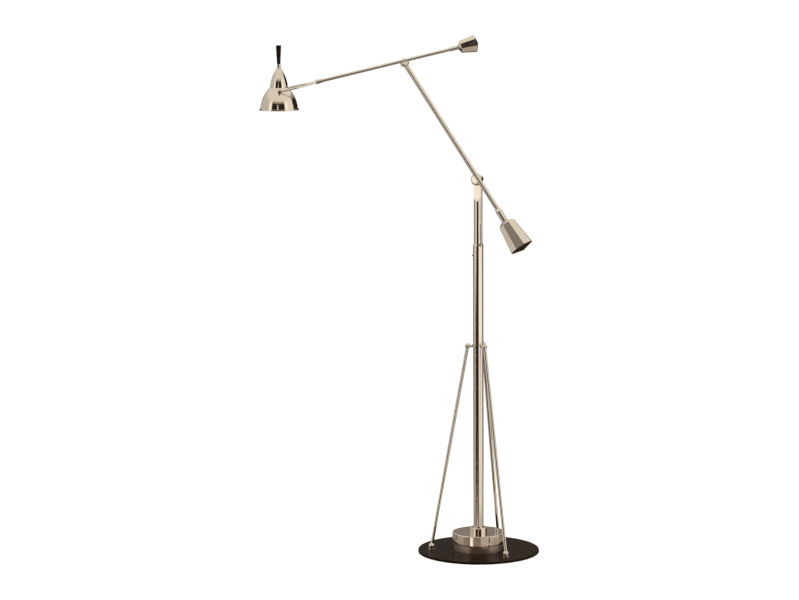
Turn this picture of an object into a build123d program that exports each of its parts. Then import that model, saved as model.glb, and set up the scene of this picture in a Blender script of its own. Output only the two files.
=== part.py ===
from build123d import *
from math import cos, radians, sin
import os

# Adjustable two-arm floor lamp: a round lacquered base with a drum weight, a telescopic mast held
# by three stays, and two counterweighted arms that carry a spun metal shade with a handle.
# Millimetres. +Z is up, the origin is the centre of the base's underside, and the lower arm
# leans in the X-Z plane with its counterweight towards +X.

# ---------------------------------------------------------------- driving dimensions
# fits and clearances
RUN = 0.05             # radial clearance of a turning or sliding fit
SEAT = 0.05            # radial clearance of a fixed seat
FACE_GAP = 0.1         # clearance between two flat faces that turn past each other
THROUGH = 1.0          # how far a cutting tool runs past the face that it opens
SLOT_W = 1.6           # screwdriver slots
SLOT_DEPTH = 1.0

# base
PAD_INSET = 6.0        # how far the felt pad stays inside the base disc's edge
PAD_H = 2.0
BASE_D = 380.0
BASE_H = 6.0
BASE_EDGE = 1.5        # rounding of the base disc's upper edge

# drum weight
DRUM_LOWER_D = 155.0
DRUM_LOWER_H = 22.0
DRUM_OVERHANG = 5.0    # how far the upper cover stands out over the lower band
DRUM_UPPER_H = 33.0
DRUM_SKIN = 1.5        # sheet of the plated covers
DRUM_EDGE = 2.0
COLLAR_WALL = 11.0
COLLAR_H = 15.0

# mast
UPPER_TUBE_D = 26.5
UPPER_TUBE_WALL = 1.6
GUIDE_WALL = 0.875     # sleeve between the two tubes at the lower tube's mouth
LOWER_TUBE_WALL = 1.65
LOWER_TUBE_TOP_Z = 963.0
PLUG_H = 45.0
MAST_BOLT_D = 12.0
CAP_PROUD = 0.4        # how far the cap ring stands out from the lower tube
CAP_BAND_H = 5.0
CAP_TAPER_H = 7.0
CAP_NOSE_WALL = 1.0
GUIDE_H = 30.0
UPPER_TUBE_IN = 270.0  # length of the upper tube inside the lower one
BUSH_H = 22.0
STOP_RING_H = 6.0
CLIP_H = 2.5
RING_SLACK = 0.25      # radial gap of the stop rings inside the lower tube
LOCK_BELOW_TOP = 24.0
LOCK_ANGLE = 210.0
LOCK_SHANK_D = 5.0
LOCK_HEAD_D = 7.0
LOCK_HEAD_H = 3.2
LOCK_HEAD_OUT = 0.3    # the screw head's seat, clear of the tube
LOCK_HEAD_EDGE = 0.6

# stays
STAY_ANGLES = (90.0, 210.0, 330.0)
STAY_FOOT_INSET = 42.0 # foot centre, in from the base disc's edge
STAY_NECK_L = 14.525   # clamp to the ball's centre
STAY_TOP_Z = 654.0
STAY_ROD_D = 10.0
STAY_BALL_D = 17.0
STAY_NECK_D = 7.0
STAY_CLAMP_WALL = 3.1
STAY_CLAMP_H = 7.0
FOOT_FLANGE_D = 24.0
FOOT_FLANGE_H = 3.0
FOOT_BODY_D = 19.0
FOOT_BODY_H = 9.0
FOOT_SCREW_D = 6.0
FOOT_SCREW_HEAD_D = 11.0
FOOT_SCREW_HEAD_H = 3.2
FOOT_SCREW_GRIP = 8.0
DRUM_SCREW_INSET = 19.5
DRUM_SCREW_TURN = 60.0 # the drum's screws stand between the stays' feet

# cable outlet at the drum's back
OUTLET_ANGLE = 120.0
OUTLET_Z = 19.0
OUTLET_D = 13.0
OUTLET_FLANGE_D = 17.0
OUTLET_FLANGE_H = 2.5
OUTLET_BORE_D = 8.0
OUTLET_LENGTH = 14.0

# mast head and first joint
PIVOT_ABOVE_TUBE = 212.0
HEAD_SPIGOT_H = 30.0
HEAD_BOTTOM_BELOW = 95.0
FLAT_BELOW = 46.0      # where the two flats reach their full depth, below the pivot
FLAT_RUNOUT_R = 49.0
FLAT_HALF = 7.5        # half the thickness between the flats
WASHER_D = 24.0
WASHER_H = 1.0
LOWER_BALL_D = 37.0
LOWER_BALL_BACK = 1.0  # the ball's centre stands this far in front of its back face
LOWER_BALL_LIP = 5.1   # the ball's flat front face, in front of the arm's axis
LOWER_PIN_D = 10.0
LOWER_PIN_OUT = 17.0
CAP_NUT_D = 22.0
CAP_NUT_H = 5.0

# lower arm
LOWER_DROP = 54.3      # degrees below the horizontal towards the counterweight
LOWER_ARM_D = 14.0
LOWER_ARM_WALL = 1.25
LOWER_ARM_WEB = 3.4    # metal between the ball's back face and the arm
LOWER_ARM_ABOVE = 9.0  # arm axis above the pin, square to the arm
LOWER_REACH = 430.0    # pin to the upper joint, along the arm
LOWER_FERRULE_WALL = 3.0
LOWER_FERRULE_L = 46.0
LOWER_FERRULE_TAPER = 9.0
LOWER_WEIGHT_AT = 169.0
LOWER_WEIGHT_SMALL_R = 27.6
LOWER_WEIGHT_BIG_R = 39.0
LOWER_WEIGHT_L = 87.0
LOWER_WEIGHT_SHOULDER = 8.0
LOWER_WEIGHT_TIP = 10.0
LOWER_WEIGHT_PHASE = 3.0
LOWER_WEIGHT_BORE_L = 62.0
WEIGHT_TIP_R = 2.0     # blunt points of both weights
FERRULE_LIP = 0.6      # wall at a ferrule's thin end
FERRULE_EDGE = 1.5

# upper joint
UPPER_BALL_D = 27.0
UPPER_BALL_LIP = 3.2   # the front half's flat face, in front of the upper arm's axis
SWIVEL_BACK = 6.5      # lower arm axis behind the joint face
SWIVEL_COLLAR_L = 7.0
SWIVEL_NECK_STEP = 1.0 # the neck behind the collar is this much slimmer all round
SWIVEL_SPIGOT_L = 34.0
SWIVEL_GROOVE_AT = 14.0
SWIVEL_GROOVE_W = 3.6
SWIVEL_GROOVE_DEPTH = 1.6
KEEPER_D = 3.0
KEEPER_TIP_GAP = 0.4   # keeper screw's tip clear of the groove's floor
KEEPER_SUNK = 0.2      # keeper screw's head below the tube's face
UPPER_PIN_D = 6.0
UPPER_NUT_D = 13.0
UPPER_NUT_H = 3.0
UPPER_NUT_EDGE = 1.0
NUT_SPOT = 1.2         # depth of the flat that the nut bears on, at the back of the ball

# upper arm
UPPER_RISE = 13.1      # degrees above the horizontal towards the counterweight
UPPER_TURN = 32.0      # degrees from +X, about +Z
UPPER_ARM_D = 10.0
UPPER_ARM_WALL = 1.0
UPPER_ARM_WEB = 2.1    # metal between the joint face and the arm
UPPER_ARM_ABOVE = 4.6  # arm axis above the pin
UPPER_REACH = 400.0    # pin to the shade's pivot, along the arm
UPPER_FERRULE_WALL = 1.3
UPPER_FERRULE_L = 25.0
UPPER_FERRULE_TAPER = 6.0
UPPER_NECK_WALL = 2.5
UPPER_NECK_L = 6.0
UPPER_NECK_EDGE = 1.5
UPPER_WEIGHT_AT = 181.5
UPPER_WEIGHT_SMALL_R = 19.5
UPPER_WEIGHT_BIG_R = 28.0
UPPER_WEIGHT_L = 47.0
UPPER_WEIGHT_SHOULDER = 6.0
UPPER_WEIGHT_TIP = 8.0
UPPER_WEIGHT_PHASE = 30.0
UPPER_WEIGHT_BORE_L = 34.0

# head fork
FORK_ROOT = 128.0      # shade pivot to the fork's root, along the arm
FORK_ROOT_D = 14.0
FORK_ROOT_L = 12.0
FORK_ROOT_EDGE = 3.0
FORK_ROOT_SEAT = 0.5   # the retaining ring bears this far inside the root
FORK_PRONG_IN = 4.0    # how far the prongs start inside the root
FORK_COLLAR_D = 12.6
FORK_COLLAR_L = 9.0
FORK_KNEE = 64.0       # where the prongs turn parallel, from the pivot
FORK_KNEE_R = 42.0
FORK_WIRE_D = 5.6
FORK_EYE_D = 12.0
FORK_EYE_T = 4.0
STUB_D = 6.0
STUB_PLUG_L = 18.0
STUB_RETAINER_D = 8.4
STUB_RETAINER_L = 3.0
POCKET_GAP = 0.5       # radial gap round the retaining ring

# shade, heights from its pivot
SHADE_TOP_Z = 69.5
SHADE_TOP_R = 7.6
CROWN_MID = (19.9, 46.0)
SHOULDER = (28.2, 11.0)
PIVOT_WALL_R = 37.8    # outside radius at the pivot's height
BELL_FOOT = (58.0, -54.0)
RIM_R = 61.6
RIM_H = 4.4
RIM_EDGE = 1.0
SHADE_WALL = 1.2
PIVOT_BOSS_D = 9.0
PIVOT_BOSS_L = 6.6
PIVOT_SCREW_D = 4.0
PIVOT_SCREW_HEAD_D = 8.0
PIVOT_SCREW_HEAD_H = 2.6
PIVOT_NUT_D = 9.0
PIVOT_NUT_H = 3.0
PIVOT_NUT_FACE = 30.2  # where the nuts meet the shade's sloping inner wall
SCREW_HEAD_EDGE = 1.0

# handle
HANDLE_FERRULE_D = 11.4
HANDLE_FERRULE_L = 14.5
FERRULE_FOOT_IN = 1.4  # the ferrule's foot stays inside the shade's flat top
FERRULE_BEAD_H = 1.5
GRIP_SEAT_LIP = 0.3    # the ferrule's top stands out round the grip
HANDLE_STUD_D = 6.0
HANDLE_STUD_L = 20.0
GRIP_L = 58.0
GRIP_FOOT_D = 10.6
GRIP_TOP_D = 16.4
GRIP_EDGE = 2.0
FERRULE_SCREW_D = 3.0
FERRULE_SCREW_SUNK = 0.6

# lamp holder and bulb
SHELF_NUT_D = 13.0
SHELF_NUT_H = 4.0
SOCKET_D = 28.0
SOCKET_H = 38.0
SOCKET_WALL = 2.0
SOCKET_EDGE = 2.0
SOCKET_TOP_Z = 42.0
BULB_CAP_D = 14.0
BULB_CAP_H = 24.0
BULB_CAP_BELOW_NUT = 2.0
BULB_D = 42.0
BULB_CENTRE_Z = -20.0
BULB_NECK_D = 16.0
BULB_GLASS = 1.0

BOTTOM = (Align.CENTER, Align.CENTER, Align.MIN)


# ---------------------------------------------------------------- helpers
def post(diameter, length, z=0.0):
    """A cylinder standing on height z."""
    return Pos(0, 0, z) * Cylinder(diameter / 2, length, align=BOTTOM)


def ring(outer, inner, length, z=0.0):
    """A washer, bush or tube standing on height z."""
    return post(outer, length, z) - post(inner, length + 2 * THROUGH, z - THROUGH)


def bar_x(diameter, start, end, y=0.0, z=0.0):
    """A cylinder along local X from start to end."""
    return Pos(start, y, z) * Rot(0, 90, 0) * Cylinder(diameter / 2, end - start, align=BOTTOM)


def bar_y(diameter, start, end, x=0.0, z=0.0):
    """A cylinder along local Y from start to end."""
    return Pos(x, start, z) * Rot(-90, 0, 0) * Cylinder(diameter / 2, end - start, align=BOTTOM)


def between(diameter, start, end):
    """A cylinder from one point to another."""
    axis = Vector(*end) - Vector(*start)
    return Plane(start, z_dir=axis).location * Cylinder(diameter / 2, axis.length, align=BOTTOM)


def turned(points):
    """A solid of revolution about Z from (radius, height) corners."""
    outline = Polyline(*[(r, 0, z) for r, z in points], close=True)
    return revolve(make_face(outline), Axis.Z)


def around(piece, angle):
    """The piece turned about the mast axis."""
    return Rot(0, 0, angle) * piece


def octagon(radius, x, phase):
    """An eight-sided section square to local X."""
    place = Plane((x, 0, 0), x_dir=(0, 1, 0), z_dir=(1, 0, 0))
    return place * Rot(0, 0, phase) * RegularPolygon(radius, 8)


def weight(start, small, big, length, shoulder, tip, phase, bore_d, bore_l):
    """An octagonal counterweight along local X: shallow shoulder, flare and pyramid tip."""
    sections = [
        octagon(bore_d, start - shoulder, phase),
        octagon(small, start, phase),
        octagon(big, start + length, phase),
        octagon(WEIGHT_TIP_R, start + length + tip, phase),
    ]
    body = loft(sections, ruled=True)
    return body - bar_x(bore_d + 2 * SEAT, start - shoulder - THROUGH, start - shoulder + bore_l)


def ferrule(start, length, outer, inner, taper):
    """A sleeve along local X whose first stretch tapers up from the tube."""
    corners = [
        (inner / 2, 0),
        (inner / 2 + FERRULE_LIP, 0),
        (outer / 2, taper),
        (outer / 2, length - FERRULE_EDGE),
        (outer / 2 - FERRULE_EDGE, length),
        (inner / 2, length),
    ]
    return Pos(start, 0, 0) * Rot(0, 90, 0) * turned(corners)


# ---------------------------------------------------------------- levels and frames
PAD_D = BASE_D - 2 * PAD_INSET
DRUM_UPPER_D = DRUM_LOWER_D + 2 * DRUM_OVERHANG
DRUM_SCREW_R = DRUM_LOWER_D / 2 - DRUM_SCREW_INSET
LOWER_TUBE_D = UPPER_TUBE_D + 2 * (RUN + GUIDE_WALL + SEAT + LOWER_TUBE_WALL)
BASE_TOP_Z = PAD_H + BASE_H
DRUM_STEP_Z = BASE_TOP_Z + DRUM_LOWER_H
DRUM_TOP_Z = DRUM_STEP_Z + DRUM_UPPER_H
LOWER_TUBE_BORE = LOWER_TUBE_D - 2 * LOWER_TUBE_WALL
UPPER_TUBE_BORE = UPPER_TUBE_D - 2 * UPPER_TUBE_WALL
LOWER_ARM_BORE = LOWER_ARM_D - 2 * LOWER_ARM_WALL
UPPER_ARM_BORE = UPPER_ARM_D - 2 * UPPER_ARM_WALL
COLLAR_D = LOWER_TUBE_D + 2 * COLLAR_WALL
CAP_D = LOWER_TUBE_D + 2 * CAP_PROUD
CAP_NOSE_D = UPPER_TUBE_D + 2 * CAP_NOSE_WALL
STAY_CLAMP_D = LOWER_TUBE_D + 2 * STAY_CLAMP_WALL
LOWER_FERRULE_D = LOWER_ARM_D + 2 * LOWER_FERRULE_WALL
UPPER_FERRULE_D = UPPER_ARM_D + 2 * UPPER_FERRULE_WALL
UPPER_NECK_D = UPPER_ARM_D + 2 * UPPER_NECK_WALL
STAY_FOOT_R = BASE_D / 2 - STAY_FOOT_INSET
STAY_TOP_R = STAY_CLAMP_D / 2 + STAY_NECK_L
FORK_HALF = PIVOT_WALL_R + PIVOT_BOSS_L + FACE_GAP + FORK_EYE_T / 2

LOCK_Z = LOWER_TUBE_TOP_Z - LOCK_BELOW_TOP
UPPER_TUBE_FOOT_Z = LOWER_TUBE_TOP_Z - UPPER_TUBE_IN
PIVOT_Z = LOWER_TUBE_TOP_Z + PIVOT_ABOVE_TUBE
HEAD_BOTTOM_Z = PIVOT_Z - HEAD_BOTTOM_BELOW
KNUCKLE_BACK = -(FLAT_HALF + WASHER_H + FACE_GAP)
LOWER_ARM_FRONT = LOWER_ARM_WEB + LOWER_ARM_D / 2 - KNUCKLE_BACK
UPPER_ARM_FRONT = FACE_GAP + UPPER_ARM_WEB + UPPER_ARM_D / 2

PIVOT = Vector(0, 0, PIVOT_Z)
LOWER_DIR = Vector(cos(radians(LOWER_DROP)), 0, -sin(radians(LOWER_DROP)))
LOWER_FRAME = Plane(PIVOT, x_dir=LOWER_DIR, z_dir=Vector(-LOWER_DIR.Z, 0, LOWER_DIR.X))
LOWER_AXIS_POINT = LOWER_FRAME.from_local_coords(Vector(0, -LOWER_ARM_FRONT, LOWER_ARM_ABOVE))
SWIVEL_POINT = LOWER_AXIS_POINT - LOWER_DIR * LOWER_REACH

UPPER_LEVEL = cos(radians(UPPER_RISE))
UPPER_DIR = Vector(
    UPPER_LEVEL * cos(radians(UPPER_TURN)),
    UPPER_LEVEL * sin(radians(UPPER_TURN)),
    sin(radians(UPPER_RISE)),
)
UPPER_PIN_DIR = UPPER_DIR.cross(LOWER_DIR).normalized()
UPPER_PIVOT = SWIVEL_POINT - UPPER_PIN_DIR * SWIVEL_BACK
UPPER_FRAME = Plane(UPPER_PIVOT, x_dir=UPPER_DIR, z_dir=UPPER_DIR.cross(UPPER_PIN_DIR))
UPPER_AXIS_POINT = UPPER_FRAME.from_local_coords(Vector(0, -UPPER_ARM_FRONT, UPPER_ARM_ABOVE))
SHADE_PIVOT = UPPER_AXIS_POINT - UPPER_DIR * UPPER_REACH
SHADE_PIN_DIR = Vector(-sin(radians(UPPER_TURN)), cos(radians(UPPER_TURN)), 0)
FORK_FRAME = Plane(SHADE_PIVOT, x_dir=UPPER_DIR, z_dir=UPPER_DIR.cross(SHADE_PIN_DIR))
SHADE_FRAME = Plane(SHADE_PIVOT, x_dir=SHADE_PIN_DIR.cross(Vector(0, 0, 1)), z_dir=(0, 0, 1))
SWIVEL_FRAME = Plane(SWIVEL_POINT, x_dir=LOWER_DIR, z_dir=LOWER_DIR.cross(UPPER_PIN_DIR))

nodes = {}


def place(name, piece, frame=None):
    """Keep a finished piece under its node name, moved out of its local frame."""
    nodes[name] = frame.location * piece if frame else piece


# ---------------------------------------------------------------- base
def foot_screw(radius, angle):
    head = post(FOOT_SCREW_HEAD_D, FOOT_SCREW_HEAD_H, PAD_H)
    shank = post(FOOT_SCREW_D, BASE_H + FOOT_SCREW_GRIP, PAD_H)
    return around(Pos(radius, 0, 0) * (head + shank), angle)


def base_screws():
    feet = [foot_screw(STAY_FOOT_R, angle) for angle in STAY_ANGLES]
    drum = [foot_screw(DRUM_SCREW_R, angle + DRUM_SCREW_TURN) for angle in STAY_ANGLES]
    return feet + drum


def clear_of_screws(piece):
    """Screw holes, cut for every fastener that comes up through the base."""
    for radius, turn in ((STAY_FOOT_R, 0), (DRUM_SCREW_R, DRUM_SCREW_TURN)):
        for angle in STAY_ANGLES:
            head = post(FOOT_SCREW_HEAD_D + 2 * SEAT, FOOT_SCREW_HEAD_H, PAD_H)
            shank = post(FOOT_SCREW_D + 2 * SEAT, BASE_H + FOOT_SCREW_GRIP, PAD_H)
            piece -= around(Pos(radius, 0, 0) * (head + shank), angle + turn)
    return piece


def base_disc():
    disc = post(BASE_D, BASE_H, PAD_H)
    disc = fillet(disc.edges().group_by(Axis.Z)[-1], BASE_EDGE)
    disc = clear_of_screws(disc)
    bolt_head = post(2 * MAST_BOLT_D + 2 * SEAT, BASE_H / 2, PAD_H)
    return disc - post(MAST_BOLT_D + 2 * SEAT, BASE_H, PAD_H) - bolt_head


def mast_bolt():
    head = post(2 * MAST_BOLT_D, BASE_H / 2, PAD_H)
    return head + post(MAST_BOLT_D, BASE_H + PLUG_H / 2, PAD_H)


def outlet_cut(diameter):
    """The way through the drum's back for the cable outlet."""
    back = DRUM_LOWER_D / 2
    way = bar_x(diameter, back - OUTLET_LENGTH, back + THROUGH, z=OUTLET_Z)
    return around(way, OUTLET_ANGLE)


def drum_band():
    outside = ring(DRUM_LOWER_D, DRUM_LOWER_D - 2 * DRUM_SKIN, DRUM_LOWER_H, BASE_TOP_Z)
    return outside - outlet_cut(OUTLET_D)


def drum_cover():
    shell = post(DRUM_UPPER_D, DRUM_UPPER_H, DRUM_STEP_Z)
    shell = fillet(shell.edges().group_by(Axis.Z)[-1], DRUM_EDGE)
    hollow = post(DRUM_UPPER_D - 2 * DRUM_SKIN, DRUM_UPPER_H - DRUM_SKIN, DRUM_STEP_Z)
    return shell - hollow - post(LOWER_TUBE_D + 2 * SEAT, DRUM_UPPER_H, DRUM_STEP_Z)


def drum_ballast():
    lower = post(DRUM_LOWER_D - 2 * DRUM_SKIN - 2 * SEAT, DRUM_LOWER_H, BASE_TOP_Z)
    upper = post(DRUM_UPPER_D - 2 * DRUM_SKIN - 2 * SEAT, DRUM_UPPER_H - DRUM_SKIN, DRUM_STEP_Z)
    body = lower + upper - post(LOWER_TUBE_D + 2 * SEAT, DRUM_TOP_Z, 0)
    return clear_of_screws(body) - outlet_cut(OUTLET_D)


def cable_outlet():
    """A flanged bush in the drum's back, its flange shaped to the drum."""
    back = DRUM_LOWER_D / 2
    inner = back - OUTLET_LENGTH
    outer = back + OUTLET_FLANGE_H
    flange = bar_x(OUTLET_FLANGE_D, back - DRUM_SKIN, outer, z=OUTLET_Z)
    flange -= post(DRUM_LOWER_D, DRUM_TOP_Z)
    barrel = bar_x(OUTLET_D - 2 * SEAT, inner, back + THROUGH, z=OUTLET_Z)
    bore = bar_x(OUTLET_BORE_D, inner - THROUGH, outer + THROUGH, z=OUTLET_Z)
    return around(flange + barrel - bore, OUTLET_ANGLE)


def mast_collar():
    collar = post(COLLAR_D, COLLAR_H, DRUM_TOP_Z)
    collar = fillet(collar.edges().group_by(Axis.Z)[-1], DRUM_EDGE)
    collar -= post(LOWER_TUBE_D + 2 * SEAT, COLLAR_H + 2 * THROUGH, DRUM_TOP_Z - THROUGH)
    return collar - collar_screw(SEAT)


def collar_screw(slack=0.0):
    """The set screw that holds the collar to the mast, at the back."""
    inner = LOWER_TUBE_D / 2 + SEAT
    outer = COLLAR_D / 2 - FERRULE_SCREW_SUNK
    screw = bar_x(LOCK_SHANK_D + 2 * slack, inner, outer, z=DRUM_TOP_Z + COLLAR_H / 2)
    return around(screw, OUTLET_ANGLE)


place("base_pad", post(PAD_D, PAD_H))
place("base_disc", base_disc())
place("base_screws", Compound(children=base_screws()))
place("mast_bolt", mast_bolt())
place("drum_lower_band", drum_band())
place("drum_upper_cover", drum_cover())
place("drum_ballast", drum_ballast())
place("cable_outlet", cable_outlet())
place("mast_collar", mast_collar())
place("collar_screw", collar_screw())


# ---------------------------------------------------------------- mast
def lock_hole(slack):
    """Radial way for the lock screw, from the upper tube out past the lower tube."""
    hole = bar_x(LOCK_SHANK_D + 2 * slack, UPPER_TUBE_D / 2 + RUN, CAP_D, z=LOCK_Z)
    return around(hole, LOCK_ANGLE)


def lower_tube():
    height = LOWER_TUBE_TOP_Z - BASE_TOP_Z
    return ring(LOWER_TUBE_D, LOWER_TUBE_BORE, height, BASE_TOP_Z) - lock_hole(RUN)


def mast_plug():
    plug = post(LOWER_TUBE_BORE - 2 * SEAT, PLUG_H, BASE_TOP_Z)
    return plug - post(MAST_BOLT_D + 2 * SEAT, PAD_H + BASE_H + PLUG_H / 2, 0)


def mast_cap():
    bore = UPPER_TUBE_D / 2 + RUN
    corners = [
        (bore, 0),
        (CAP_D / 2, 0),
        (CAP_D / 2, CAP_BAND_H),
        (CAP_NOSE_D / 2, CAP_BAND_H + CAP_TAPER_H),
        (bore, CAP_BAND_H + CAP_TAPER_H),
    ]
    return Pos(0, 0, LOWER_TUBE_TOP_Z) * turned(corners)


def mast_guide():
    outer = LOWER_TUBE_BORE - 2 * SEAT
    guide = ring(outer, UPPER_TUBE_D + 2 * RUN, GUIDE_H, LOWER_TUBE_TOP_Z - GUIDE_H)
    return guide - lock_hole(RUN)


def lock_screw():
    tip = UPPER_TUBE_D / 2 + FACE_GAP
    seat = LOWER_TUBE_D / 2 + FACE_GAP
    head_start = seat + LOCK_HEAD_OUT
    head_end = head_start + LOCK_HEAD_H
    shank = bar_x(LOCK_SHANK_D, tip, head_start + LOCK_HEAD_EDGE, z=LOCK_Z)
    head = bar_x(LOCK_HEAD_D, head_start, head_end, z=LOCK_Z)
    head = chamfer(head.edges().group_by(Axis.X)[-1], LOCK_HEAD_EDGE)
    slot = Pos(head_end, 0, LOCK_Z) * Box(2 * SLOT_DEPTH, LOCK_HEAD_D, SLOT_DEPTH)
    return around(shank + head - slot, LOCK_ANGLE)


BUSH_Z = UPPER_TUBE_FOOT_Z + FACE_GAP
RING_D = LOWER_TUBE_BORE - 2 * RING_SLACK


def mast_bush():
    return ring(LOWER_TUBE_BORE - 2 * RUN, UPPER_TUBE_D + 2 * RUN, BUSH_H, BUSH_Z)


def stop_ring():
    """The plug in the upper tube's foot; its flange keeps the bush on."""
    flange = post(RING_D, STOP_RING_H, UPPER_TUBE_FOOT_Z - STOP_RING_H)
    shank = post(UPPER_TUBE_BORE - 2 * SEAT, STOP_RING_H, UPPER_TUBE_FOOT_Z)
    return flange + shank - post(UPPER_TUBE_BORE / 2, 4 * STOP_RING_H, BUSH_Z - 2 * STOP_RING_H)


def bush_clip():
    return ring(RING_D, UPPER_TUBE_D, CLIP_H, BUSH_Z + BUSH_H + FACE_GAP)


def upper_tube():
    return ring(UPPER_TUBE_D, UPPER_TUBE_BORE, HEAD_BOTTOM_Z - UPPER_TUBE_FOOT_Z, UPPER_TUBE_FOOT_Z)


def mast_head():
    """The tube's solid end: two milled flats with a rounded run-out, and a round top."""
    stem = post(UPPER_TUBE_D, HEAD_BOTTOM_BELOW, HEAD_BOTTOM_Z)
    body = stem + bar_y(UPPER_TUBE_D, -UPPER_TUBE_D / 2, UPPER_TUBE_D / 2, z=PIVOT_Z)
    body &= post(UPPER_TUBE_D, 2 * HEAD_BOTTOM_BELOW, HEAD_BOTTOM_Z)
    flat_z = PIVOT_Z - FLAT_BELOW
    reach = HEAD_BOTTOM_BELOW
    for side in (-1, 1):
        middle = side * (FLAT_HALF + reach / 2)
        body -= Pos(0, middle, flat_z) * Box(reach, reach, reach, align=BOTTOM)
        runout = bar_x(2 * FLAT_RUNOUT_R, -reach / 2, reach / 2)
        body -= Pos(0, side * (FLAT_HALF + FLAT_RUNOUT_R), flat_z) * runout
    spigot = post(UPPER_TUBE_BORE - 2 * SEAT, HEAD_SPIGOT_H, HEAD_BOTTOM_Z - HEAD_SPIGOT_H)
    body += spigot
    return body - bar_y(LOWER_PIN_D + 2 * RUN, -UPPER_TUBE_D, UPPER_TUBE_D, z=PIVOT_Z)


def friction_washer(side):
    """A fibre washer on one flat of the mast head."""
    bore = LOWER_PIN_D + 2 * RUN
    start = FLAT_HALF if side > 0 else -FLAT_HALF - WASHER_H
    plate = bar_y(WASHER_D, start, start + WASHER_H, z=PIVOT_Z)
    return plate - bar_y(bore, start - THROUGH, start + WASHER_H + THROUGH, z=PIVOT_Z)


place("lower_mast_tube", lower_tube())
place("mast_plug", mast_plug())
place("mast_cap", mast_cap())
place("mast_guide", mast_guide())
place("mast_lock_screw", lock_screw())
place("mast_bush", mast_bush())
place("upper_mast_tube", upper_tube())
place("upper_tube_stop", stop_ring())
place("bush_clip", bush_clip())
place("mast_head", mast_head())
place("front_friction_washer", friction_washer(-1))
place("rear_friction_washer", friction_washer(1))


# ---------------------------------------------------------------- stays
FOOT_TOP_Z = BASE_TOP_Z + FOOT_FLANGE_H + FOOT_BODY_H


def stay_clamp():
    clamp = ring(STAY_CLAMP_D, LOWER_TUBE_D + 2 * SEAT, STAY_CLAMP_H, STAY_TOP_Z - STAY_CLAMP_H / 2)
    for angle in STAY_ANGLES:
        neck = bar_x(STAY_NECK_D, STAY_CLAMP_D / 2 - THROUGH, STAY_TOP_R, z=STAY_TOP_Z)
        clamp += around(neck - Pos(STAY_TOP_R, 0, STAY_TOP_Z) * Sphere(STAY_BALL_D / 2), angle)
    return clamp


def stay_foot(angle):
    flange = post(FOOT_FLANGE_D, FOOT_FLANGE_H, BASE_TOP_Z)
    body = post(FOOT_BODY_D, FOOT_BODY_H, BASE_TOP_Z + FOOT_FLANGE_H)
    dome = Pos(0, 0, FOOT_TOP_Z) * Sphere(FOOT_BODY_D / 2)
    hole = post(FOOT_SCREW_D + 2 * SEAT, FOOT_SCREW_GRIP, BASE_TOP_Z)
    return around(Pos(STAY_FOOT_R, 0, 0) * (flange + body + dome - hole), angle)


def stay_rod(angle):
    top = (STAY_TOP_R, 0, STAY_TOP_Z)
    foot = (STAY_FOOT_R, 0, FOOT_TOP_Z)
    rod = between(STAY_ROD_D, foot, top)
    rod -= Pos(*top) * Sphere(STAY_BALL_D / 2)
    rod -= Pos(*foot) * Sphere(FOOT_BODY_D / 2)
    return around(rod, angle)


def stay_ball(angle):
    return around(Pos(STAY_TOP_R, 0, STAY_TOP_Z) * Sphere(STAY_BALL_D / 2), angle)


place("stay_clamp", stay_clamp())
for number, angle in enumerate(STAY_ANGLES, start=1):
    place(f"stay_ball_{number}", stay_ball(angle))
    place(f"stay_rod_{number}", stay_rod(angle))
    place(f"stay_foot_{number}", stay_foot(angle))


# ---------------------------------------------------------------- lower arm
def lower_knuckle():
    """The ball that carries the arm, turned with its pivot pin, cut flat behind and in front."""
    centre_y = KNUCKLE_BACK - LOWER_BALL_BACK
    ball = Pos(0, centre_y, 0) * Sphere(LOWER_BALL_D / 2)
    front = -LOWER_ARM_FRONT - LOWER_BALL_LIP
    width = 2 * LOWER_BALL_D
    keep = Pos(0, (KNUCKLE_BACK + front) / 2, 0) * Box(width, KNUCKLE_BACK - front, width)
    pin = bar_y(LOWER_PIN_D, KNUCKLE_BACK - THROUGH, LOWER_PIN_OUT)
    arm_way = bar_x(
        LOWER_ARM_D + 2 * SEAT, -LOWER_BALL_D, LOWER_BALL_D, -LOWER_ARM_FRONT, LOWER_ARM_ABOVE,
    )
    return (ball & keep) + pin - arm_way


def cap_nut():
    """The domed nut on the back end of the pivot pin."""
    start = FLAT_HALF + WASHER_H + FACE_GAP
    radius = CAP_NUT_D / 2
    top = start + CAP_NUT_H
    nut = bar_y(CAP_NUT_D, start, top)
    dome = Pos(0, top, 0) * Sphere(radius) & bar_y(CAP_NUT_D, top, top + radius)
    return nut + dome - bar_y(LOWER_PIN_D + 2 * SEAT, start - THROUGH, LOWER_PIN_OUT)


LOWER_ARM_LOCAL = Pos(0, -LOWER_ARM_FRONT, LOWER_ARM_ABOVE)
LOWER_TUBE_END = LOWER_WEIGHT_AT - LOWER_WEIGHT_SHOULDER + LOWER_WEIGHT_BORE_L
LOWER_TUBE_START = -LOWER_REACH + UPPER_BALL_D / 2 + SWIVEL_COLLAR_L


def lower_arm_tube():
    outer = bar_x(LOWER_ARM_D, LOWER_TUBE_START, LOWER_TUBE_END)
    tube = outer - bar_x(LOWER_ARM_BORE, LOWER_TUBE_START - THROUGH, LOWER_TUBE_END + THROUGH)
    return LOWER_ARM_LOCAL * (tube - keeper_way(SEAT))


def keeper_way(slack):
    """Where the keeper screw goes through the tube into the swivel's groove."""
    at = LOWER_TUBE_START + SWIVEL_GROOVE_AT
    inner = LOWER_ARM_BORE / 2 - SWIVEL_GROOVE_DEPTH + KEEPER_TIP_GAP
    way = Cylinder(KEEPER_D / 2 + slack, LOWER_ARM_D / 2 - KEEPER_SUNK - inner, align=BOTTOM)
    return Pos(at, 0, 0) * Rot(180, 0, 0) * Pos(0, 0, inner) * way


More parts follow.
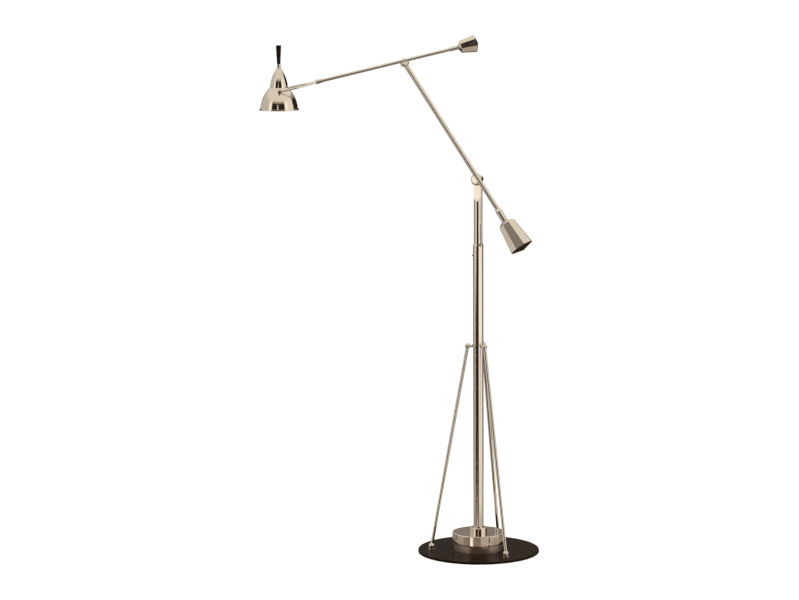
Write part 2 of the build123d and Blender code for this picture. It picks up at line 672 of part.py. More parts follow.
def lower_ferrule():
    start = LOWER_WEIGHT_AT - LOWER_WEIGHT_SHOULDER - LOWER_FERRULE_L
    inner = LOWER_ARM_D + 2 * SEAT
    sleeve = ferrule(start, LOWER_FERRULE_L, LOWER_FERRULE_D, inner, LOWER_FERRULE_TAPER)
    return LOWER_ARM_LOCAL * sleeve


def lower_weight():
    return LOWER_ARM_LOCAL * weight(
        LOWER_WEIGHT_AT, LOWER_WEIGHT_SMALL_R, LOWER_WEIGHT_BIG_R, LOWER_WEIGHT_L,
        LOWER_WEIGHT_SHOULDER, LOWER_WEIGHT_TIP, LOWER_WEIGHT_PHASE, LOWER_ARM_D, LOWER_WEIGHT_BORE_L,
    )


place("lower_arm_knuckle", lower_knuckle(), LOWER_FRAME)
place("lower_pivot_nut", cap_nut(), LOWER_FRAME)
place("lower_arm_tube", lower_arm_tube(), LOWER_FRAME)
place("lower_arm_ferrule", lower_ferrule(), LOWER_FRAME)
place("lower_arm_weight", lower_weight(), LOWER_FRAME)
place("swivel_keeper_screw", LOWER_ARM_LOCAL * keeper_way(0.0), LOWER_FRAME)


# ---------------------------------------------------------------- upper joint
def swivel_knuckle():
    """The rear half of the upper joint, on a grooved spigot that turns in the lower arm."""
    start = UPPER_BALL_D / 2 - 2 * SWIVEL_NECK_STEP
    shoulder = UPPER_BALL_D / 2 + SWIVEL_COLLAR_L - FACE_GAP
    neck = bar_x(LOWER_ARM_D - 2 * SWIVEL_NECK_STEP, 0, start)
    collar = bar_x(LOWER_ARM_D, start, shoulder)
    spigot_d = LOWER_ARM_BORE - 2 * RUN
    spigot_end = shoulder + SWIVEL_SPIGOT_L
    spigot = bar_x(spigot_d, shoulder, spigot_end)
    groove_at = UPPER_BALL_D / 2 + SWIVEL_COLLAR_L + SWIVEL_GROOVE_AT
    groove_start = groove_at - SWIVEL_GROOVE_W / 2
    groove_end = groove_at + SWIVEL_GROOVE_W / 2
    groove = bar_x(LOWER_ARM_D, groove_start, groove_end)
    groove -= bar_x(spigot_d - 2 * SWIVEL_GROOVE_DEPTH, groove_start, groove_end)
    stem = neck + collar + spigot - groove
    body = Pos(0, -SWIVEL_BACK, 0) * Sphere(UPPER_BALL_D / 2) + stem
    front = Box(4 * UPPER_BALL_D, UPPER_BALL_D, UPPER_BALL_D)
    face = Pos(0, -SWIVEL_BACK - UPPER_BALL_D / 2, 0) * front
    nut_seat = UPPER_BALL_D / 2 - NUT_SPOT - SWIVEL_BACK
    spot_face = bar_y(UPPER_NUT_D + 2 * RING_SLACK, nut_seat, UPPER_BALL_D)
    pin_way = bar_y(UPPER_PIN_D + 2 * RUN, -UPPER_BALL_D, UPPER_BALL_D)
    return body - face - spot_face - pin_way


UPPER_NUT_START = UPPER_BALL_D / 2 - NUT_SPOT + FACE_GAP
UPPER_PIN_OUT = UPPER_NUT_START + UPPER_NUT_H / 2


def upper_knuckle():
    """The front half of the upper joint, turned with its pin, its front cut flat below the arm."""
    front = -UPPER_ARM_FRONT - UPPER_BALL_LIP
    width = 2 * UPPER_BALL_D
    keep = Pos(0, (front - FACE_GAP) / 2, 0) * Box(width, -FACE_GAP - front, width)
    half = Pos(0, -FACE_GAP, 0) * Sphere(UPPER_BALL_D / 2) & keep
    pin = bar_y(UPPER_PIN_D, -UPPER_ARM_WEB / 2, UPPER_PIN_OUT)
    reach = UPPER_BALL_D
    way = bar_x(UPPER_ARM_D + 2 * SEAT, -reach, reach, -UPPER_ARM_FRONT, UPPER_ARM_ABOVE)
    return half + pin - way


def upper_nut():
    nut = bar_y(UPPER_NUT_D, UPPER_NUT_START, UPPER_NUT_START + UPPER_NUT_H)
    nut = chamfer(nut.edges().group_by(Axis.Y)[-1], UPPER_NUT_EDGE)
    return nut - bar_y(UPPER_PIN_D + 2 * SEAT, 0, UPPER_PIN_OUT)


place("swivel_knuckle", swivel_knuckle(), SWIVEL_FRAME)
place("upper_arm_knuckle", upper_knuckle(), UPPER_FRAME)
place("upper_pivot_nut", upper_nut(), UPPER_FRAME)


# ---------------------------------------------------------------- upper arm
UPPER_ARM_LOCAL = Pos(0, -UPPER_ARM_FRONT, UPPER_ARM_ABOVE)
UPPER_TUBE_END = UPPER_WEIGHT_AT - UPPER_WEIGHT_SHOULDER + UPPER_WEIGHT_BORE_L
ARM_NOSE = -UPPER_REACH + FORK_ROOT + FORK_COLLAR_L + FACE_GAP


def upper_arm_tube():
    outer = bar_x(UPPER_ARM_D, ARM_NOSE, UPPER_TUBE_END)
    inner = bar_x(UPPER_ARM_BORE, ARM_NOSE - THROUGH, UPPER_TUBE_END + THROUGH)
    return UPPER_ARM_LOCAL * (outer - inner)


def upper_ferrule():
    start = UPPER_WEIGHT_AT - UPPER_WEIGHT_SHOULDER - UPPER_NECK_L - UPPER_FERRULE_L
    inner = UPPER_ARM_D + 2 * SEAT
    sleeve = ferrule(start, UPPER_FERRULE_L, UPPER_FERRULE_D, inner, UPPER_FERRULE_TAPER)
    return UPPER_ARM_LOCAL * sleeve


def upper_neck():
    """The round neck between the ferrule and the small weight."""
    start = UPPER_WEIGHT_AT - UPPER_WEIGHT_SHOULDER - UPPER_NECK_L
    end = start + UPPER_NECK_L
    neck = bar_x(UPPER_NECK_D, start, end)
    neck = fillet(neck.edges(), UPPER_NECK_EDGE)
    bore = bar_x(UPPER_ARM_D + 2 * SEAT, start - THROUGH, end + THROUGH)
    return UPPER_ARM_LOCAL * (neck - bore)


def upper_weight():
    return UPPER_ARM_LOCAL * weight(
        UPPER_WEIGHT_AT, UPPER_WEIGHT_SMALL_R, UPPER_WEIGHT_BIG_R, UPPER_WEIGHT_L,
        UPPER_WEIGHT_SHOULDER, UPPER_WEIGHT_TIP, UPPER_WEIGHT_PHASE, UPPER_ARM_D, UPPER_WEIGHT_BORE_L,
    )


RETAINER_END = -UPPER_REACH + FORK_ROOT - FORK_ROOT_SEAT - FACE_GAP


def swivel_stub():
    """The stub in the arm's nose that the fork turns on."""
    plug = bar_x(UPPER_ARM_BORE - 2 * SEAT, ARM_NOSE, ARM_NOSE + STUB_PLUG_L)
    stub = bar_x(STUB_D, RETAINER_END - STUB_RETAINER_L / 2, ARM_NOSE)
    return UPPER_ARM_LOCAL * (plug + stub)


def stub_retainer():
    """The ring that keeps the fork on the stub, inside the fork's root."""
    cap = bar_x(STUB_RETAINER_D, RETAINER_END - STUB_RETAINER_L, RETAINER_END)
    seat = bar_x(STUB_D + 2 * SEAT, RETAINER_END - STUB_RETAINER_L / 2, RETAINER_END + THROUGH)
    return UPPER_ARM_LOCAL * (cap - seat)


place("upper_arm_tube", upper_arm_tube(), UPPER_FRAME)
place("upper_arm_ferrule", upper_ferrule(), UPPER_FRAME)
place("upper_arm_neck", upper_neck(), UPPER_FRAME)
place("upper_arm_weight", upper_weight(), UPPER_FRAME)
place("swivel_stub", swivel_stub(), UPPER_FRAME)
place("stub_retainer", stub_retainer(), UPPER_FRAME)


# ---------------------------------------------------------------- head fork
def fork_prong(side):
    corners = [
        (FORK_ROOT - FORK_PRONG_IN, 0, 0),
        (FORK_KNEE, side * FORK_HALF, 0),
        (FORK_EYE_D / 2 - THROUGH, side * FORK_HALF, 0),
    ]
    path = FilletPolyline(*corners, radius=FORK_KNEE_R)
    prong = sweep(Plane(path @ 0, z_dir=path % 0) * Circle(FORK_WIRE_D / 2), path=path)
    middle = side * FORK_HALF
    return prong + bar_y(FORK_EYE_D, middle - FORK_EYE_T / 2, middle + FORK_EYE_T / 2)


def head_fork():
    root = bar_x(FORK_ROOT_D, FORK_ROOT - FORK_ROOT_L, FORK_ROOT)
    root = fillet(root.edges().group_by(Axis.X)[0], FORK_ROOT_EDGE)
    collar_end = FORK_ROOT + FORK_COLLAR_L
    pocket_end = FORK_ROOT - FORK_ROOT_SEAT
    collar = bar_x(FORK_COLLAR_D, FORK_ROOT - THROUGH, collar_end)
    body = root + collar + fork_prong(1) + fork_prong(-1)
    body -= bar_x(STUB_D + 2 * RUN, pocket_end - THROUGH, collar_end + THROUGH)
    body -= bar_x(STUB_RETAINER_D + 2 * POCKET_GAP, pocket_end - 2 * FORK_ROOT_L, pocket_end)
    for side in (-1, 1):
        start = side * FORK_HALF - FORK_EYE_T
        body -= bar_y(PIVOT_SCREW_D + 2 * SEAT, start, start + 2 * FORK_EYE_T)
    return body


def both_sides(piece):
    """The piece and its mirror image across the arm."""
    return Compound(children=[piece, mirror(piece, Plane.XZ)])


def pivot_screws():
    """Slotted screws through the prongs' eyes into the shade."""
    seat = FORK_HALF + FORK_EYE_T / 2
    shaft = bar_y(PIVOT_SCREW_D, PIVOT_NUT_FACE - PIVOT_NUT_H, seat + SCREW_HEAD_EDGE)
    head = bar_y(PIVOT_SCREW_HEAD_D, seat, seat + PIVOT_SCREW_HEAD_H)
    head = fillet(head.edges().group_by(Axis.Y)[-1], SCREW_HEAD_EDGE)
    cutter = Box(PIVOT_SCREW_HEAD_D, 2 * SLOT_DEPTH, SLOT_W)
    slot = Pos(0, seat + PIVOT_SCREW_HEAD_H, 0) * cutter
    return both_sides(shaft + head - slot)


def pivot_nuts():
    """Nuts on the screws' inner ends, inside the shade."""
    nut = bar_y(PIVOT_NUT_D, PIVOT_NUT_FACE - PIVOT_NUT_H, PIVOT_NUT_FACE)
    return both_sides(nut - bar_y(PIVOT_SCREW_D + 2 * SEAT, 0, FORK_HALF))


place("head_fork", head_fork(), FORK_FRAME)
place("pivot_screws", pivot_screws(), FORK_FRAME)
place("pivot_nuts", pivot_nuts(), FORK_FRAME)


# ---------------------------------------------------------------- shade
def shade_form(inset=0.0):
    """The shade's solid form from crown to bell foot, moved in by the inset."""
    def at(corner):
        return (corner[0] - inset, 0, corner[1])

    top = at((SHADE_TOP_R, SHADE_TOP_Z - inset))
    crown = ThreePointArc(top, at(CROWN_MID), at(SHOULDER))
    bell = ThreePointArc(at(SHOULDER), at((PIVOT_WALL_R, 0)), at(BELL_FOOT))
    rest = Polyline(at(BELL_FOOT), (0, 0, BELL_FOOT[1]), (0, 0, top[2]), top)
    return revolve(make_face(crown + bell + rest), Axis.Z)


def pivot_way():
    """The running hole for the pivot screws, through both walls of the shade."""
    return bar_y(PIVOT_SCREW_D + 2 * RUN, -RIM_R, RIM_R)


def shade_body():
    mouth_z = BELL_FOOT[1] - RIM_H
    rim = fillet(post(2 * RIM_R, RIM_H, mouth_z).edges(), RIM_EDGE)
    mouth = post(2 * (BELL_FOOT[0] - SHADE_WALL), RIM_H + THROUGH, mouth_z - THROUGH)
    shell = shade_form() + rim - shade_form(SHADE_WALL) - mouth
    shell -= post(HANDLE_STUD_D + 2 * SEAT, SHADE_TOP_R, SHADE_TOP_Z - SHADE_TOP_R / 2)
    return shell - pivot_way()


def pivot_bosses():
    """Spacers between the shade's wall and the prongs' eyes."""
    face = FORK_HALF - FORK_EYE_T / 2 - FACE_GAP
    boss = bar_y(PIVOT_BOSS_D, SHOULDER[0], face) - shade_form()
    return both_sides(boss - pivot_way())


place("shade", shade_body(), SHADE_FRAME)
place("pivot_bosses", pivot_bosses(), SHADE_FRAME)


def handle_ferrule():
    corners = [
        (0, 0),
        (SHADE_TOP_R - FERRULE_FOOT_IN, 0),
        (HANDLE_FERRULE_D / 2, FERRULE_BEAD_H),
        (GRIP_FOOT_D / 2 + GRIP_SEAT_LIP, HANDLE_FERRULE_L),
        (0, HANDLE_FERRULE_L),
    ]
    body = Pos(0, 0, SHADE_TOP_Z) * turned(corners)
    bore_l = HANDLE_FERRULE_L + 2 * THROUGH
    body -= post(HANDLE_STUD_D + 2 * SEAT, bore_l, SHADE_TOP_Z - THROUGH)
    return body - ferrule_screw_way(SEAT)


def ferrule_screw_way(slack):
    """The small set screw in the ferrule's front, and with slack the hole it sits in."""
    outer = HANDLE_FERRULE_D / 2 - FERRULE_SCREW_SUNK
    inner = HANDLE_STUD_D / 2 + SEAT
    return bar_y(FERRULE_SCREW_D + 2 * slack, -outer, -inner, z=SHADE_TOP_Z + HANDLE_FERRULE_L / 2)


GRIP_Z = SHADE_TOP_Z + HANDLE_FERRULE_L
SHELF_NUT_Z = SOCKET_TOP_Z - SOCKET_WALL - SHELF_NUT_H
BULB_CAP_Z = SHELF_NUT_Z - BULB_CAP_BELOW_NUT - BULB_CAP_H


def handle_stud():
    """The threaded stud that holds lamp holder, shade, ferrule and grip together."""
    return post(HANDLE_STUD_D, GRIP_Z + HANDLE_STUD_L - SHELF_NUT_Z, SHELF_NUT_Z)


def handle_grip():
    corners = [
        (0, 0),
        (GRIP_FOOT_D / 2, 0),
        (GRIP_TOP_D / 2, GRIP_L - GRIP_EDGE),
        (GRIP_TOP_D / 2 - GRIP_EDGE / 2, GRIP_L - GRIP_EDGE / 3),
        (0, GRIP_L),
    ]
    body = Pos(0, 0, GRIP_Z) * turned(corners)
    return body - post(HANDLE_STUD_D + 2 * SEAT, HANDLE_STUD_L + THROUGH, GRIP_Z - THROUGH)


def lamp_socket():
    """The holder under the crown: a cup, open below, hung on the stud."""
    cup = post(SOCKET_D, SOCKET_H, SOCKET_TOP_Z - SOCKET_H)
    cup = fillet(cup.edges().group_by(Axis.Z)[-1], SOCKET_EDGE)
    cup -= post(SOCKET_D - 2 * SOCKET_WALL, SOCKET_H - SOCKET_WALL, SOCKET_TOP_Z - SOCKET_H)
    return cup - post(HANDLE_STUD_D + 2 * SEAT, SOCKET_H, SOCKET_TOP_Z - SOCKET_H)


def bulb_cap():
    """The bulb's screw cap, inside the holder."""
    return post(BULB_CAP_D, BULB_CAP_H, BULB_CAP_Z)


def bulb_outline(inset):
    """The globe and its neck, made smaller by the inset."""
    globe = Pos(0, 0, BULB_CENTRE_Z) * Sphere(BULB_D / 2 - inset)
    return globe + post(BULB_NECK_D - 2 * inset, BULB_CAP_Z - BULB_CENTRE_Z + inset, BULB_CENTRE_Z)


def bulb_glass():
    glass = bulb_outline(0.0) & post(BULB_D, BULB_CAP_Z + RIM_R, -RIM_R)
    return glass - bulb_outline(BULB_GLASS)


def shelf_nut():
    return ring(SHELF_NUT_D, HANDLE_STUD_D + 2 * SEAT, SHELF_NUT_H, SHELF_NUT_Z)


place("handle_ferrule", handle_ferrule(), SHADE_FRAME)
place("ferrule_set_screw", ferrule_screw_way(0.0), SHADE_FRAME)
place("handle_stud", handle_stud(), SHADE_FRAME)
place("handle_grip", handle_grip(), SHADE_FRAME)
place("lamp_socket", lamp_socket(), SHADE_FRAME)
place("socket_nut", shelf_nut(), SHADE_FRAME)
place("bulb_cap", bulb_cap(), SHADE_FRAME)
place("bulb_glass", bulb_glass(), SHADE_FRAME)

os.makedirs("parts", exist_ok=True)
for name, piece in nodes.items():
    export_step(piece, f"parts/{name}.step")
print(len(nodes), "nodes written")
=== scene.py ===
"""Adjustable two-arm floor lamp: its finishes, the eased weights, a pale studio and the camera."""
import math

import bmesh
import bpy
from mathutils import Matrix, Vector


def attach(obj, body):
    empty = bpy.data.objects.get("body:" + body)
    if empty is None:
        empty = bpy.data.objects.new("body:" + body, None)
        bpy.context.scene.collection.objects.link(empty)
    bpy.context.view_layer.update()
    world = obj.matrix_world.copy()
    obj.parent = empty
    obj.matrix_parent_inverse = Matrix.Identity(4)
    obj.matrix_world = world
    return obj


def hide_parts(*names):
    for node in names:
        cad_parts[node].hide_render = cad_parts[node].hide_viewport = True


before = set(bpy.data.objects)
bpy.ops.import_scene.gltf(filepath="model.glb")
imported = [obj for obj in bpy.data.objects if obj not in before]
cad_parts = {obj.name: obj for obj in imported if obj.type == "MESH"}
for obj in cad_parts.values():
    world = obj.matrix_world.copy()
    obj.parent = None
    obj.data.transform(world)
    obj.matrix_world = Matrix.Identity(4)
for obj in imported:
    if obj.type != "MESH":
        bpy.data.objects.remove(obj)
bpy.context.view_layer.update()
MM = 0.001

# ---------------------------------------------------------------- camera, in metres and degrees
CAMERA_AZIMUTH = 25.23     # round the mast, from straight in front towards the lower weight
CAMERA_DISTANCE = 8.472    # from the mast's axis
CAMERA_HEIGHT = 1.950
CAMERA_ASIDE = 1.658       # how far the lens points to the left of the mast
CAMERA_DOWN = 7.738
CAMERA_ROLL = -0.294
CAMERA_LENS = 123.76       # focal length in millimetres

# ---------------------------------------------------------------- floor and softbox, in metres
FLOOR_RADIUS = 1.75
FLOOR_FADE = 0.9           # where the floor begins to fade out towards its rim
FLOOR_SIDES = 64
TOP_LIGHT_HEIGHT = 3.3
TOP_LIGHT_SIZE = 2.2
TOP_LIGHT_WATTS = 95.0
TOP_LIGHT_TINT = (1.0, 0.97, 0.93)

# ---------------------------------------------------------------- room round the lamp, in degrees
# Upright panels of light: from and to, round the lamp from the camera's side and growing to the
# camera's right, the glow, and the lowest and highest edge. Glows add up where panels overlap.
PANELS = (
    (-115.0, -68.0, 0.50, -90.0, -7.5),
    (-115.0, -44.0, 0.50, -7.5, -1.0),
    (-150.0, -44.0, 0.50, -1.0, 90.0),
    (-64.0, -44.0, 0.42, -7.0, 90.0),
    (-7.5, -2.5, 0.90, -1.0, 21.0),
    (10.0, 40.0, 0.90, -14.0, -5.0),
    (40.0, 60.0, 0.92, -90.0, 90.0),
    (60.0, 104.0, 0.75, -90.0, 90.0),
)
SIDE_EDGE = 2.5            # half the width over which a panel's sides fade
LEVEL_EDGE = 0.3           # the same for its top and bottom
CEILING_FROM = 23.0        # height where the ceiling's light begins, and where it is full
CEILING_FULL = 36.0
CEILING_DROP = 14.0        # how much lower the ceiling hangs behind the lamp
BEHIND_FROM = 115.0        # how far round that drop begins, and where it is full
BEHIND_FULL = 150.0
UNDER_FROM = 50.0          # depth where the tan floor below begins, and where it is full
UNDER_FULL = 66.0
NEAR_FOOT = -15.5          # heights between which the floor just beyond the base disc shows
NEAR_TOP = -12.3
STRIP = (-37.0, -25.0)     # strip of light that lies on that floor, from and to

# ---------------------------------------------------------------- edges of the weights
EASED_EDGE = 0.45 * MM
EASED_STEPS = 2
ROUND_PROFILE = 0.5
WELD = 0.01 * MM           # points nearer than this are one point
FLAT_ANGLE = math.radians(1)      # faces that turn by less than this are one facet
ARRIS_ANGLE = math.radians(20)    # edges that turn by more than this are eased


# ---------------------------------------------------------------- shader maths
class Wire:
    """One shader output; arithmetic on it adds Math nodes to its tree."""

    def __init__(self, shader, socket):
        self.shader = shader
        self.socket = socket

    def maths(self, operation, *terms):
        settings = {"operation": operation}
        return self.shader.node("ShaderNodeMath", settings, dict(enumerate(terms)))

    def __add__(self, other):
        return self.maths("ADD", self, other)

    def __radd__(self, other):
        return self.maths("ADD", other, self)

    def __sub__(self, other):
        return self.maths("SUBTRACT", self, other)

    def __rsub__(self, other):
        return self.maths("SUBTRACT", other, self)

    def __mul__(self, other):
        return self.maths("MULTIPLY", self, other)

    def __rmul__(self, other):
        return self.maths("MULTIPLY", other, self)

    def __truediv__(self, other):
        return self.maths("DIVIDE", self, other)

    def __pow__(self, other):
        return self.maths("POWER", self, other)


class Shader:
    """A node tree being built: one method makes and wires every node."""

    def __init__(self, tree):
        self.tree = tree
        tree.nodes.clear()

    def node(self, kind, settings=None, inputs=None, output=0):
        made = self.tree.nodes.new(kind)
        for name, value in (settings or {}).items():
            setattr(made, name, value)
        for key, value in (inputs or {}).items():
            if isinstance(value, Wire):
                self.tree.links.new(value.socket, made.inputs[key])
            else:
                made.inputs[key].default_value = value
        return Wire(self, made.outputs[output]) if len(made.outputs) else None

    def place(self):
        """The point on the piece, in metres, riding with it."""
        return self.node("ShaderNodeTexCoord", output="Object")

    def axes(self, vector):
        split = self.node("ShaderNodeSeparateXYZ", {}, {0: vector})
        return [Wire(self, socket) for socket in split.socket.node.outputs]

    def round_mast(self):
        """The distance from the mast's axis, and the height, in metres."""
        x, y, z = self.axes(self.place())
        return (x * x + y * y) ** 0.5, z

    def stretched(self, grain):
        """The point measured in grains of this size, so that a grain runs along its longest axis."""
        inputs = {"Vector": self.place(), "Scale": grain}
        return self.node("ShaderNodeMapping", {"vector_type": "TEXTURE"}, inputs)

    def noise(self, scale, detail=2.0, rough=0.5, vector=None):
        inputs = {
            "Vector": vector or self.place(), "Scale": scale, "Detail": detail, "Roughness": rough,
        }
        return self.node("ShaderNodeTexNoise", {}, inputs)

    def spread(self, value, low, high, start=0.0, end=1.0):
        """From start to end in step with the value, as it goes from low to high."""
        inputs = {"Value": value, 1: low, 2: high, 3: start, 4: end}
        return self.node("ShaderNodeMapRange", {"clamp": True}, inputs)

    def blend(self, factor, first, second):
        """A colour between two; the Mix node's colours are its inputs 6 and 7 and its output 2."""
        inputs = {"Factor": factor, 6: first, 7: second}
        return self.node("ShaderNodeMix", {"data_type": "RGBA"}, inputs, output=2)

    def mottled(self, value, tones, low=0.3, high=0.7):
        """A colour that wanders between two tones as the value goes from low to high."""
        return self.blend(self.spread(value, low, high), *tones)

    def bump(self, height, distance):
        return self.node("ShaderNodeBump", {}, {"Height": height, "Distance": distance})


def rgb(red, green, blue):
    return (red, green, blue, 1.0)


def finish(name, build):
    """A material whose surface is built by a function that returns the sockets it sets."""
    material = bpy.data.materials.new(name)
    material.use_nodes = True
    shader = Shader(material.node_tree)
    surface = shader.node("ShaderNodeBsdfPrincipled", {}, build(shader))
    shader.node("ShaderNodeOutputMaterial", {}, {"Surface": surface})
    return material


# ---------------------------------------------------------------- nickel
BRIGHT_NICKEL = (rgb(0.85, 0.79, 0.71), rgb(0.80, 0.725, 0.63))
# painted reflection: darker, browner nickel tones that stand in for the dark base disc mirrored in the
# drum's band
PAINTED_REFLECTION_NICKEL = (rgb(0.76, 0.62, 0.50), rgb(0.68, 0.54, 0.42))
POLISHED = 0.045           # least roughness of each polish
SATIN = 0.34
BUFFING_GRAIN = (200.0 * MM, 200.0 * MM, 1.1 * MM)
SPINNING_GRAIN = (600.0 * MM, 600.0 * MM, 1.6 * MM)
RING_WIDTH = 1.2 * MM
RING_HEIGHT = 2.5 * MM


def nickel_surface(shader, lines, line_depth, least_rough=POLISHED, tones=BRIGHT_NICKEL):
    """Warm nickel plate: faint patina, polishing haze and the buffing lines given."""
    patina = shader.noise(9.0, 3.0)
    haze = shader.noise(60.0, 4.0, 0.6)
    return {
        "Base Color": shader.mottled(patina, tones),
        "Metallic": 1.0,
        "Roughness": least_rough + 0.05 * shader.spread(haze, 0.35, 0.75) + 0.03 * lines,
        "Normal": shader.bump(lines, line_depth),
    }


def polished_nickel(shader):
    return nickel_surface(shader, shader.noise(420.0, 2.0), 0.002 * MM)


def buffed_tube(shader):
    """Nickel tube, buffed round its length: fine rings that change along the tube."""
    rings = shader.noise(1.0, 3.0, 0.6, shader.stretched(BUFFING_GRAIN))
    return nickel_surface(shader, rings, 0.0012 * MM)


def spun_nickel(shader):
    """Nickel spun on a lathe: rings by height, as the tool left them."""
    rings = shader.noise(1.0, 4.0, 0.65, shader.stretched(SPINNING_GRAIN))
    return nickel_surface(shader, rings, 0.004 * MM)


def lathe_rings(shader):
    """Fine rings round the mast's axis."""
    radius, height = shader.round_mast()
    grain = {0: radius / RING_WIDTH, 1: height / RING_HEIGHT}
    return shader.noise(1.0, 3.0, 0.6, shader.node("ShaderNodeCombineXYZ", {}, grain))


def turned_face(shader):
    return nickel_surface(shader, lathe_rings(shader), 0.004 * MM)


def satin_face_painted_reflection(shader):
    """Turned nickel left a little duller, as on the drum's band down by the base; its darker, browner
    tones are a painted reflection of the dark base disc beside it.
    """
    return nickel_surface(shader, lathe_rings(shader), 0.006 * MM, SATIN, PAINTED_REFLECTION_NICKEL)


# ---------------------------------------------------------------- other finishes
def lacquer(shader):
    """Dark bronze-black lacquer on steel, semi-gloss, with orange peel and a little dust."""
    peel = shader.noise(330.0, 2.0, 0.5)
    cloud = shader.noise(14.0, 4.0, 0.6)
    dust = shader.spread(shader.noise(2600.0, 1.0), 0.74, 0.80)
    bronze = (rgb(0.0100, 0.0050, 0.0036), rgb(0.0150, 0.0078, 0.0056))
    return {
        "Base Color": shader.blend(dust * 0.25, shader.mottled(cloud, bronze), rgb(0.08, 0.07, 0.06)),
        "Roughness": 0.24 + 0.10 * shader.spread(cloud, 0.35, 0.7) + 0.25 * dust,
        "Specular IOR Level": 0.015,
        "Normal": shader.bump(peel, 0.02 * MM),
    }


def felt(shader):
    fibres = shader.noise(900.0, 5.0, 0.75)
    charcoal = (rgb(0.018, 0.017, 0.016), rgb(0.07, 0.068, 0.064))
    return {
        "Base Color": shader.mottled(fibres, charcoal),
        "Roughness": 0.95,
        "Normal": shader.bump(fibres, 0.4 * MM),
    }


def zinc_steel(shader):
    grain = shader.noise(700.0, 3.0, 0.6)
    spangle = shader.noise(120.0, 2.0)
    zinc = (rgb(0.50, 0.50, 0.49), rgb(0.63, 0.62, 0.60))
    return {
        "Base Color": shader.mottled(spangle, zinc),
        "Metallic": 1.0,
        "Roughness": 0.26 + 0.14 * grain,
        "Normal": shader.bump(grain, 0.01 * MM),
    }


def cast_iron(shader):
    sand = shader.noise(380.0, 5.0, 0.7)
    iron = (rgb(0.055, 0.053, 0.05), rgb(0.12, 0.11, 0.10))
    return {
        "Base Color": shader.mottled(sand, iron),
        "Metallic": 0.7,
        "Roughness": 0.55 + 0.25 * sand,
        "Normal": shader.bump(sand, 0.3 * MM),
    }


def nylon(shader):
    mould = shader.noise(250.0, 3.0)
    ivory = (rgb(0.78, 0.76, 0.70), rgb(0.84, 0.82, 0.77))
    return {
        "Base Color": shader.mottled(mould, ivory),
        "Roughness": 0.42 + 0.1 * mould,
        "Normal": shader.bump(mould, 0.01 * MM),
    }


def fibre(shader):
    flecks = shader.noise(1100.0, 3.0, 0.7)
    oxblood = (rgb(0.10, 0.035, 0.022), rgb(0.20, 0.085, 0.055))
    return {
        "Base Color": shader.mottled(flecks, oxblood, 0.35, 0.65),
        "Roughness": 0.62 + 0.2 * flecks,
        "Normal": shader.bump(flecks, 0.03 * MM),
    }


def ebony(shader):
    """Near-black wood, waxed, with long pores up the handle."""
    pores = shader.noise(1.0, 6.0, 0.7, shader.stretched((0.7 * MM, 0.7 * MM, 16.0 * MM)))
    figure = shader.noise(1.0, 3.0, 0.6, shader.stretched((4.0 * MM, 4.0 * MM, 50.0 * MM)))
    streak = shader.spread(pores, 0.45, 0.72)
    heartwood = (rgb(0.0045, 0.0032, 0.0027), rgb(0.0095, 0.0060, 0.0044))
    return {
        "Base Color": shader.blend(streak, shader.mottled(figure, heartwood), rgb(0.018, 0.011, 0.0075)),
        "Roughness": 0.33 + 0.2 * streak,
        "Specular IOR Level": 0.12,
        "Normal": shader.bump(pores, 0.05 * MM),
    }


def moulded_black(shader):
    grain = shader.noise(1400.0, 3.0, 0.6)
    return {
        "Base Color": shader.blend(grain, rgb(0.012, 0.012, 0.012), rgb(0.026, 0.025, 0.024)),
        "Roughness": 0.34 + 0.16 * grain,
        "Normal": shader.bump(grain, 0.015 * MM),
    }


def plain_brass(shader):
    tarnish = shader.noise(160.0, 4.0, 0.6)
    brass = (rgb(0.74, 0.56, 0.28), rgb(0.60, 0.43, 0.20))
    return {
        "Base Color": shader.mottled(tarnish, brass),
        "Metallic": 1.0,
        "Roughness": 0.2 + 0.16 * tarnish,
        "Normal": shader.bump(tarnish, 0.005 * MM),
    }


def frosted_glass(shader):
    """Bulb glass, acid-frosted inside: nearly white, with a slight unevenness."""
    etch = shader.noise(800.0, 3.0, 0.6)
    frost = (rgb(0.86, 0.86, 0.84), rgb(0.93, 0.93, 0.91))
    return {
        "Base Color": shader.mottled(etch, frost, 0.35, 0.65),
        "Roughness": 0.22 + 0.12 * etch,
        "Transmission Weight": 0.45,
        "IOR": 1.46,
        "Normal": shader.bump(etch, 0.01 * MM),
    }


def blackened_steel(shader):
    oil = shader.noise(500.0, 3.0, 0.6)
    return {
        "Base Color": shader.blend(oil, rgb(0.02, 0.02, 0.021), rgb(0.055, 0.053, 0.05)),
        "Metallic": 0.9,
        "Roughness": 0.36 + 0.16 * oil,
        "Normal": shader.bump(oil, 0.008 * MM),
    }


FINISHES = {
    "nickel": polished_nickel,
    "steel": zinc_steel,
    "lacquer": lacquer,
    "felt": felt,
    "cast_iron": cast_iron,
    "nylon": nylon,
    "fibre": fibre,
    "ebony": ebony,
    "socket_black": moulded_black,
    "bulb_brass": plain_brass,
    "bulb_glass": frosted_glass,
    "outlet_black": moulded_black,
    "black_steel": blackened_steel,
}
NICKEL_BY_PIECE = {
    "lower_mast_tube": buffed_tube,
    "upper_mast_tube": buffed_tube,
    "mast_cap": buffed_tube,
    "shade": spun_nickel,
    "handle_ferrule": spun_nickel,
    "drum_lower_band": satin_face_painted_reflection,
    "drum_upper_cover": turned_face,
    "mast_collar": turned_face,
}


def dress_nodes():
    """Every piece takes the finish of its slot, or the nickel made for that piece."""
    made = {}
    for node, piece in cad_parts.items():
        for held in piece.material_slots:
            build = NICKEL_BY_PIECE.get(node) or FINISHES[held.material.name.split(".")[0]]
            if build not in made:
                made[build] = finish(build.__name__, build)
            held.material = made[build]


